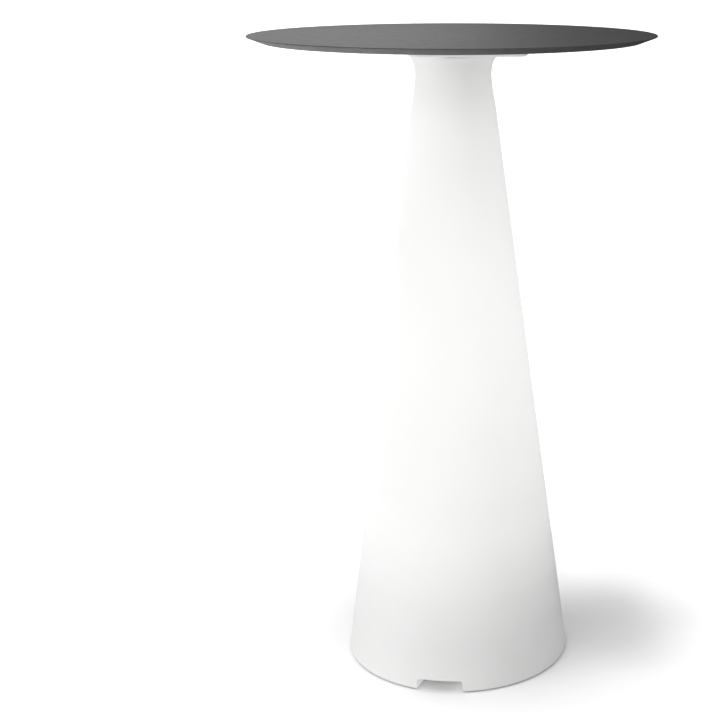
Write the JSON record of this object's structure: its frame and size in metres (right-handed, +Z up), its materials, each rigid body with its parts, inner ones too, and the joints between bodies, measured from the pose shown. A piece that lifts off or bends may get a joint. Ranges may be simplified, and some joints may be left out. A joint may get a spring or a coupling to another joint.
{
  "type": "light-up bar table",
  "caption": "Bar-height table with a thin round laminate top on a hollow white cone that glows from an LED column inside.",
  "frame": {"origin": "on the floor, on the axis of the cone", "axes": "+Z up along the cone's axis; the cable outlet in the foot faces -Y, turned 9.9 degrees towards -X; the long reach of the fixing pan points to +X"},
  "size_m": [0.6796, 0.68, 1.11],
  "materials": {
    "laminate": "satin dark grey compact laminate",
    "white_paint": "satin white powder coat",
    "glowing_shell": "matt translucent moulded polyethylene, lit from inside",
    "white_plastic": "fine matt",
    "opal_plastic": "opal satin",
    "led_board": "white solder mask",
    "circuit_board": "green solder mask",
    "black_plastic": "fine matt",
    "rubber": "matt",
    "steel": "zinc plated",
    "brass": "turned",
    "aluminium": "satin anodised",
    "grey_paint": "matt grey powder coat",
    "lead_sheath": "matt"
  },
  "bodies": {
    "table": {"tabletop": "laminate", "top_insert_1": "brass", "top_insert_2": "brass", "top_insert_3": "brass", "top_insert_4": "brass", "top_insert_5": "brass", "top_insert_6": "brass", "fixing_pan": "white_paint", "top_screw_1": "steel", "top_screw_2": "steel", "top_screw_3": "steel", "top_screw_4": "steel", "top_screw_5": "steel", "top_screw_6": "steel", "neck_bolt_1": "steel", "neck_bolt_2": "steel", "neck_bolt_3": "steel", "neck_bolt_4": "steel", "neck_nut_plate": "steel", "cone_shell": "glowing_shell", "base_tray": "white_plastic", "foot_pad_1": "rubber", "foot_pad_2": "rubber", "foot_pad_3": "rubber", "foot_pad_4": "rubber", "foot_pad_5": "rubber", "ballast_ring": "grey_paint", "ballast_bolt_1": "steel", "ballast_bolt_2": "steel", "ballast_bolt_3": "steel", "ballast_bolt_4": "steel", "access_cover": "white_plastic", "cover_gasket": "rubber", "cover_screw_1": "steel", "cover_screw_2": "steel", "cover_screw_3": "steel", "cover_screw_4": "steel", "mast_foot": "aluminium", "mast_screw_1": "steel", "mast_screw_2": "steel", "light_mast": "aluminium", "led_board_1": "led_board", "led_board_2": "led_board", "led_board_3": "led_board", "led_board_4": "led_board", "diffuser_tube": "opal_plastic", "diffuser_bottom_cap": "white_plastic", "diffuser_top_cap": "white_plastic", "driver_box": "white_plastic", "driver_lid": "white_plastic", "driver_board": "circuit_board", "gland_body": "black_plastic", "gland_nut": "black_plastic", "gland_seal": "rubber", "gland_lock_nut": "black_plastic", "switch_body": "black_plastic", "button_spring": "steel", "switch_lead": "lead_sheath", "led_lead": "lead_sheath"},
    "power_button": {"power_button": "white_plastic"}
  },
  "joints": [
    {"name": "power_button_press", "type": "slide", "parent": "table", "child": "power_button", "axis": [0, 0, 1], "range_m": [0, 0.002], "stiffness_N_per_m": 800, "deforming": ["button_spring"]}
  ]
}
